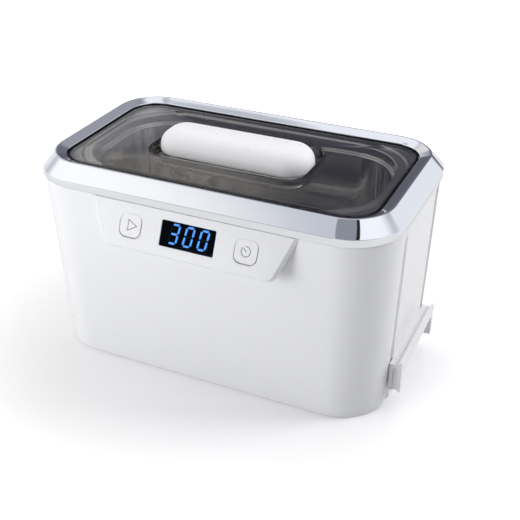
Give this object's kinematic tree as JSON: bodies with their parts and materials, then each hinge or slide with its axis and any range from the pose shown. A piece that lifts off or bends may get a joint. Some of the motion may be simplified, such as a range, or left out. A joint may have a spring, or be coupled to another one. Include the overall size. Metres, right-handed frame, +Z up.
{
  "type": "ultrasonic cleaner",
  "caption": "Bench-top ultrasonic cleaner: tapered white case, chrome rim, steel tank under a smoked lift-off lid, tilted console with display and push keys, cord hook.",
  "frame": {"origin": "centre of the body's footprint, on the surface it stands on", "axes": "+X to the right, the cord hook's side; -Y to the front, the console's side; +Z up"},
  "size_m": [0.2084, 0.1298, 0.126],
  "materials": {
    "white_case": "high-gloss white ABS",
    "white_console": "gloss white ABS",
    "white_handle": "satin white ABS",
    "white_key": "satin white ABS",
    "white_hook": "satin white ABS",
    "base_plastic": "fine spark-eroded white ABS",
    "screw_steel": "zinc plated",
    "foot_rubber": "matt",
    "chrome_trim": "mirror chrome plate",
    "tank_steel": "polished drawn stainless steel",
    "seal_rubber": "black silicone",
    "smoked_lid": "smoked clear polycarbonate",
    "dark_lens": "dark tinted acrylic",
    "module_black": "black",
    "dark_segment": "unlit diffuser",
    "icon_grey": "printed grey",
    "board_green": "solder mask",
    "socket_cream": "nylon",
    "cable_grey": "flat cable",
    "gland_rubber": "light grey rubber",
    "lead_red": "insulation",
    "bare_aluminium": "machined",
    "capacitor_sleeve": "shrink sleeve",
    "fuse_glass": "ceramic cartridge",
    "copper_winding": "enamelled copper",
    "core_iron": "laminated",
    "piezo_ceramic": "fired",
    "contact_brass": "sheet",
    "mass_steel": "turned",
    "lit_blue": "lit diffuser"
  },
  "bodies": {
    "housing": {"body_shell": "white_case", "base_plate": "base_plastic", "base_screws": "screw_steel", "rubber_feet": "foot_rubber", "trim_ring": "chrome_trim", "trim_ring_screws": "screw_steel", "tank": "tank_steel", "tank_gasket": "seal_rubber", "control_console": "white_console", "console_screws": "screw_steel", "display_window": "dark_lens", "display_module": "module_black", "lit_segments": "lit_blue", "dark_segments": "dark_segment", "control_board": "board_green", "control_board_screws": "screw_steel", "control_socket": "socket_cream", "tact_switches": "module_black", "display_cable": "cable_grey", "cord_wrap_hook": "white_hook", "hook_screws": "screw_steel", "cord_gland": "gland_rubber", "power_board": "board_green", "power_board_screws": "screw_steel", "terminal_blocks": "socket_cream", "heat_sink": "bare_aluminium", "power_transistors": "module_black", "filter_capacitors": "capacitor_sleeve", "fuse": "fuse_glass", "choke": "copper_winding", "transformer_core": "core_iron", "transformer_winding": "copper_winding", "transformer_screws": "screw_steel", "transformer_leads": "lead_red", "transducer_front_mass": "bare_aluminium", "piezo_rings": "piezo_ceramic", "electrode_tabs": "contact_brass", "transducer_back_mass": "mass_steel", "transducer_bolt": "screw_steel", "transducer_leads": "lead_red"},
    "lid": {"lid_cover": "smoked_lid", "lid_gasket": "seal_rubber", "lid_handle": "white_handle", "handle_washers": "seal_rubber", "handle_screws": "screw_steel"},
    "start_key": {"start_button": "white_key", "start_icon": "icon_grey"},
    "timer_key": {"timer_button": "white_key", "timer_icon": "icon_grey"}
  },
  "joints": [
    {"name": "lid_lift", "type": "slide", "parent": "housing", "child": "lid", "axis": [0, 0, 1], "range_m": [0, 0.06]},
    {"name": "start_press", "type": "slide", "parent": "housing", "child": "start_key", "axis": [0, 0.9112, -0.412], "range_m": [0, 0.0006], "stiffness_N_per_m": 900},
    {"name": "timer_press", "type": "slide", "parent": "housing", "child": "timer_key", "axis": [0, 0.9112, -0.412], "range_m": [0, 0.0006], "stiffness_N_per_m": 900}
  ]
}
